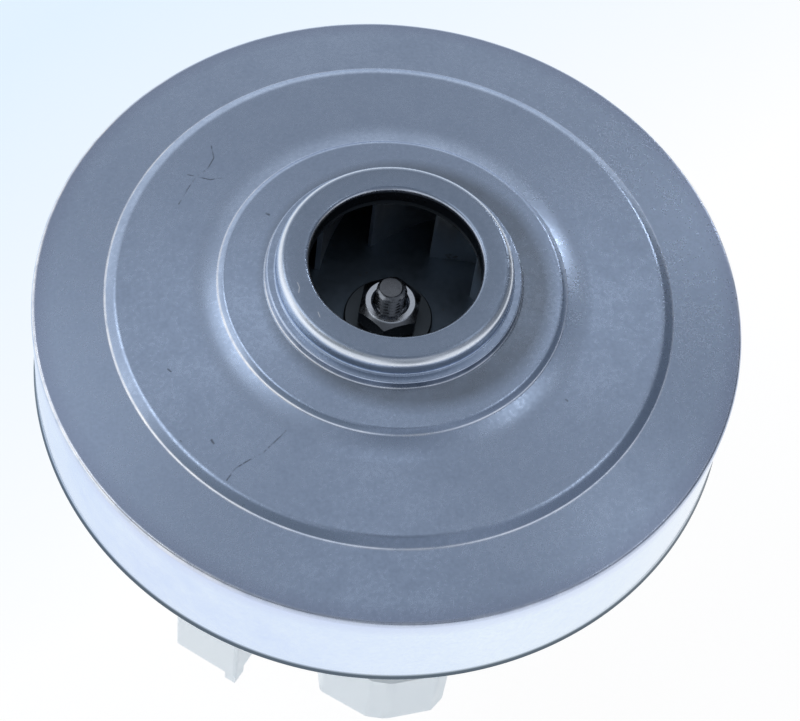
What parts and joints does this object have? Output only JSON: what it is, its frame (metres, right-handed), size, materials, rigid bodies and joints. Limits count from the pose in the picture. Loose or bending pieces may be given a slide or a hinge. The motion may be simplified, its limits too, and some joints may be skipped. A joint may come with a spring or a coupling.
{
  "type": "vacuum cleaner suction motor",
  "caption": "Suction motor of a vacuum cleaner: stepped metal fan cover with a raised inlet collar over an impeller, motor and brush gear below.",
  "frame": {"origin": "on the shaft axis, in the flat end of the rear bearing boss", "axes": "+Z along the shaft towards the inlet; carbon brushes along Y, field poles along X"},
  "size_m": [0.1359, 0.1358, 0.1162],
  "materials": {
    "cover_steel": "satin, deep drawn",
    "bracket_steel": "zinc plated",
    "pale_plastic": "moulded",
    "dark_plastic": "moulded",
    "former_plastic": "moulded",
    "impeller_metal": "pressed sheet",
    "lamination": "punched sheet, varnished",
    "enamelled_copper": "enamelled copper wire",
    "commutator_copper": "bare copper",
    "commutator_moulding": "moulding compound",
    "shaft_steel": "ground",
    "bearing_steel": "ground",
    "zinc_steel": "zinc plated",
    "nut_steel": "zinc plated",
    "brush_carbon": "carbon",
    "tube_brass": "pressed sheet",
    "spring_steel": "drawn wire",
    "sleeve_rubber": "moulded"
  },
  "bodies": {
    "motor_frame": {"fan_cover": "cover_steel", "diffuser": "dark_plastic", "diffuser_screws": "zinc_steel", "front_bracket": "bracket_steel", "front_bearing_outer": "bearing_steel", "rear_bearing_outer": "bearing_steel", "stator_core": "lamination", "front_coil_former": "former_plastic", "rear_coil_former": "former_plastic", "right_field_coil": "enamelled_copper", "left_field_coil": "enamelled_copper", "frame_screws": "zinc_steel", "rear_bridge": "pale_plastic", "rear_bearing_sleeve": "sleeve_rubber", "preload_washer": "spring_steel", "front_brush_tube": "tube_brass", "rear_brush_tube": "tube_brass", "front_brush_hood": "pale_plastic", "rear_brush_hood": "pale_plastic", "front_brush_spring": "spring_steel", "rear_brush_spring": "spring_steel", "terminal_block": "pale_plastic", "terminal_blades": "tube_brass"},
    "rotor": {"shaft": "shaft_steel", "armature_core": "lamination", "armature_winding": "enamelled_copper", "commutator_hub": "commutator_moulding", "commutator_bars": "commutator_copper", "front_bearing_inner": "bearing_steel", "rear_bearing_inner": "bearing_steel", "spacer_sleeve": "zinc_steel", "impeller_plate": "impeller_metal", "impeller_vanes": "impeller_metal", "impeller_shroud": "impeller_metal", "clamp_washer": "zinc_steel", "impeller_nut": "nut_steel"},
    "front_brush_body": {"front_brush": "brush_carbon"},
    "rear_brush_body": {"rear_brush": "brush_carbon"}
  },
  "joints": [
    {"name": "rotor_spin", "type": "hinge", "parent": "motor_frame", "child": "rotor", "pos_m": [0, 0, 0.057], "axis": [0, 0, 1], "continuous": true},
    {"name": "front_brush_slide", "type": "slide", "parent": "motor_frame", "child": "front_brush_body", "axis": [0, -1, 0], "range_m": [0, 0.005], "stiffness_N_per_m": 150, "springref_m": -0.02, "deforming": ["front_brush_spring"]},
    {"name": "rear_brush_slide", "type": "slide", "parent": "motor_frame", "child": "rear_brush_body", "axis": [0, 1, 0], "range_m": [0, 0.005], "stiffness_N_per_m": 150, "springref_m": -0.02, "deforming": ["rear_brush_spring"]}
  ]
}
